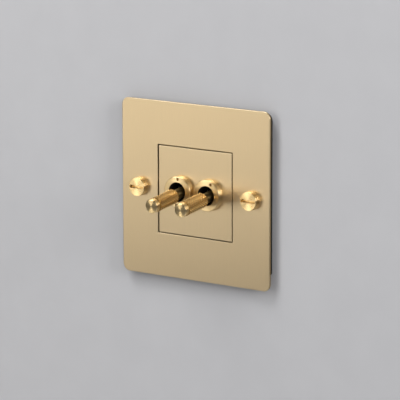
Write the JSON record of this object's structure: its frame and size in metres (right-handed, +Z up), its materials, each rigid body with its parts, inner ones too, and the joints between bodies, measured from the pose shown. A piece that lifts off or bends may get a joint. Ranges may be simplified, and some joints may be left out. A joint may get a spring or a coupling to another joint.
{
  "type": "toggle wall switch",
  "caption": "Toggle wall switch: square brass plate and insert, knurled levers in flanged bushes, slotted fixing screws, tumbler mechanisms behind.",
  "frame": {"origin": "centre of the wall plane, where the back face of the black frame lies", "axes": "+X to the right and +Z up as seen from the room; +Y into the wall, so the front faces -Y"},
  "size_m": [0.08, 0.0581, 0.08],
  "materials": {
    "plate_brass": "satin, fine vertical brushing",
    "turned_brass": "turned and knurled, semi-bright",
    "terminal_brass": "plain machined",
    "steel": "zinc plated",
    "silver_contact": "silver alloy",
    "black_frame": "moulded, fine texture",
    "black_phenolic": "moulded phenolic",
    "white_nylon": "moulded nylon"
  },
  "bodies": {
    "switch_body": {"face_plate": "plate_brass", "insert_plate": "plate_brass", "back_frame": "black_frame", "mounting_bridge": "steel", "clamp_plate": "terminal_brass", "coin_screw_left": "turned_brass", "coin_screw_right": "turned_brass", "earth_tab": "terminal_brass", "earth_rivet": "terminal_brass", "earth_screw": "terminal_brass", "earth_washer": "terminal_brass", "bush_left": "turned_brass", "housing_left": "black_phenolic", "terminal_base_left": "black_phenolic", "pivot_pin_left": "steel", "terminal_common_left": "terminal_brass", "terminal_screw_common_left": "terminal_brass", "fixed_contact_upper_left": "silver_contact", "terminal_upper_left": "terminal_brass", "terminal_screw_upper_left": "terminal_brass", "case_screw_upper_left": "steel", "fixed_contact_lower_left": "silver_contact", "terminal_lower_left": "terminal_brass", "terminal_screw_lower_left": "terminal_brass", "case_screw_lower_left": "steel", "bush_right": "turned_brass", "housing_right": "black_phenolic", "terminal_base_right": "black_phenolic", "pivot_pin_right": "steel", "terminal_common_right": "terminal_brass", "terminal_screw_common_right": "terminal_brass", "fixed_contact_upper_right": "silver_contact", "terminal_upper_right": "terminal_brass", "terminal_screw_upper_right": "terminal_brass", "case_screw_upper_right": "steel", "fixed_contact_lower_right": "silver_contact", "terminal_lower_right": "terminal_brass", "terminal_screw_lower_right": "terminal_brass", "case_screw_lower_right": "steel"},
    "left_lever": {"lever_left": "turned_brass", "dolly_left": "black_phenolic", "plunger_spring_left": "steel"},
    "left_plunger": {"plunger_left": "white_nylon"},
    "left_rocker": {"rocker_left": "terminal_brass", "rocker_contact_upper_left": "silver_contact", "rocker_contact_lower_left": "silver_contact"},
    "right_lever": {"lever_right": "turned_brass", "dolly_right": "black_phenolic", "plunger_spring_right": "steel"},
    "right_plunger": {"plunger_right": "white_nylon"},
    "right_rocker": {"rocker_right": "terminal_brass", "rocker_contact_upper_right": "silver_contact", "rocker_contact_lower_right": "silver_contact"}
  },
  "joints": [
    {"name": "lever_left_tilt", "type": "hinge", "parent": "switch_body", "child": "left_lever", "pos_m": [-0.00782, 0.0028, 0], "axis": [-1, 0, 0], "range_deg": [0, 13.2]},
    {"name": "plunger_left_slide", "type": "slide", "parent": "left_lever", "child": "left_plunger", "axis": [0, -0.9934, -0.1149], "range_m": [0, 0.0008], "stiffness_N_per_m": 300, "springref_m": -0.002, "deforming": ["plunger_spring_left"]},
    {"name": "rocker_left_tilt", "type": "hinge", "parent": "switch_body", "child": "left_rocker", "pos_m": [-0.00782, 0.0169, 0], "axis": [1, 0, 0], "range_deg": [0, 17.2]},
    {"name": "lever_right_tilt", "type": "hinge", "parent": "switch_body", "child": "right_lever", "pos_m": [0.00782, 0.0028, 0], "axis": [-1, 0, 0], "range_deg": [0, 13.2]},
    {"name": "plunger_right_slide", "type": "slide", "parent": "right_lever", "child": "right_plunger", "axis": [0, -0.9934, -0.1149], "range_m": [0, 0.0008], "stiffness_N_per_m": 300, "springref_m": -0.002, "deforming": ["plunger_spring_right"]},
    {"name": "rocker_right_tilt", "type": "hinge", "parent": "switch_body", "child": "right_rocker", "pos_m": [0.00782, 0.0169, 0], "axis": [1, 0, 0], "range_deg": [0, 17.2]}
  ],
  "couplings": [
    {"joint": "rocker_left_tilt", "follows": "lever_left_tilt", "ratio": 1.3},
    {"joint": "rocker_right_tilt", "follows": "lever_right_tilt", "ratio": 1.3}
  ]
}
